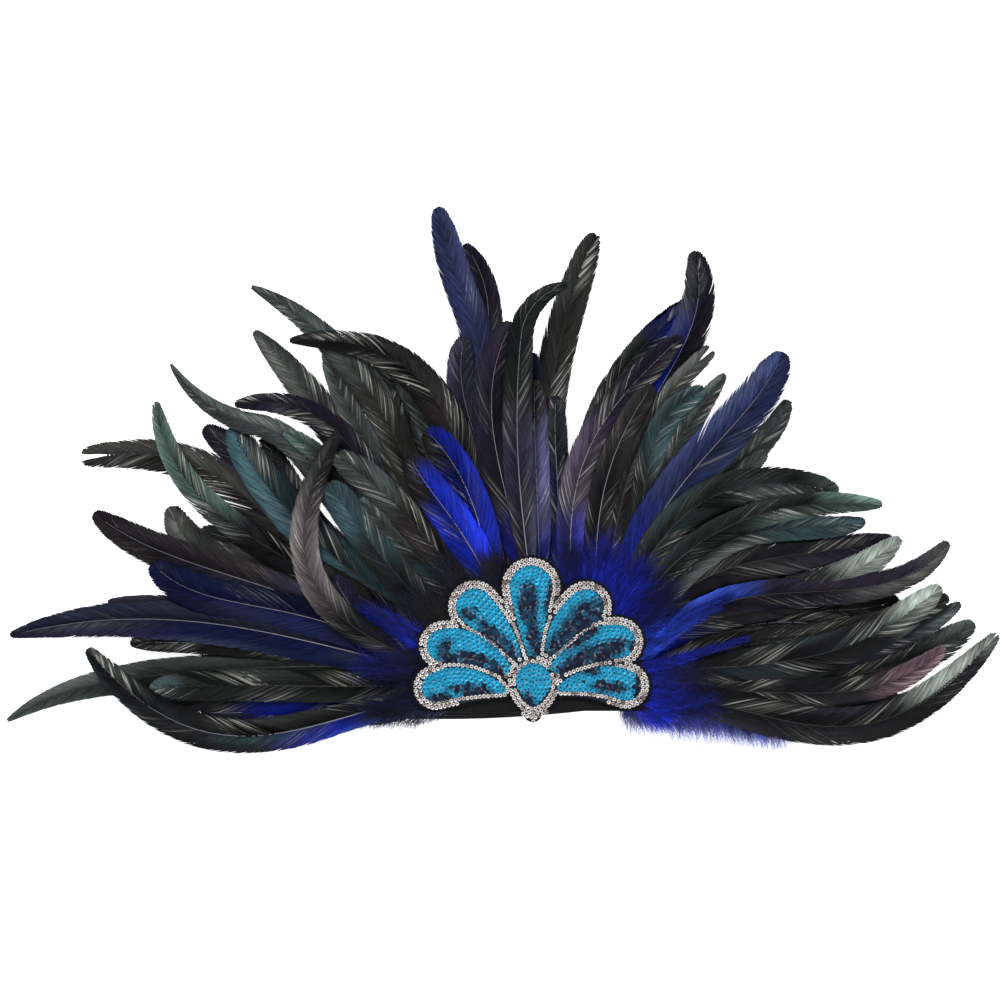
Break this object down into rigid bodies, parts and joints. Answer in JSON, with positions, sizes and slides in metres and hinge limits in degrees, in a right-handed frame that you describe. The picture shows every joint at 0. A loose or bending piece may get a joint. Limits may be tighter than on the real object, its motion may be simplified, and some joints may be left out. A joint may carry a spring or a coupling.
{
  "type": "feather headdress",
  "caption": "Showgirl headdress: a fan of dyed black, teal and blue cock tail feathers round a turquoise and silver sequin palmette, on a black elastic head band",
  "frame": {"origin": "on the back face of the head band, under the middle of the palmette", "axes": "X along the head band towards the wearer's left, Y towards the crown of feathers, Z from the back of the band out through the palmette; the headdress lies on its back"},
  "size_m": [0.5459, 0.3017, 0.0332],
  "materials": {
    "black_elastic": "ribbed elastic webbing",
    "dyed_feather": "glossy dyed feather",
    "blue_down": "soft down",
    "black_felt": "felt",
    "silver_sequins": "metallised sequins",
    "turquoise_sequins": "metallised sequins"
  },
  "bodies": {
    "root": {"head_band": "black_elastic", "down_lower": "blue_down", "feather_row_01": "dyed_feather", "feather_row_02": "dyed_feather", "feather_row_03": "dyed_feather", "feather_row_04": "dyed_feather", "feather_row_05": "dyed_feather", "feather_row_06": "dyed_feather", "feather_row_07": "dyed_feather", "feather_row_08": "dyed_feather", "feather_row_09": "dyed_feather", "feather_row_10": "dyed_feather", "feather_row_11": "dyed_feather", "down_upper": "blue_down", "applique_backing": "black_felt", "silver_border": "silver_sequins", "petal_1": "turquoise_sequins", "petal_2": "turquoise_sequins", "petal_3": "turquoise_sequins", "petal_4": "turquoise_sequins", "petal_5": "turquoise_sequins", "petal_6": "turquoise_sequins", "petal_7": "turquoise_sequins", "centre_drop": "turquoise_sequins"}
  },
  "joints": []
}
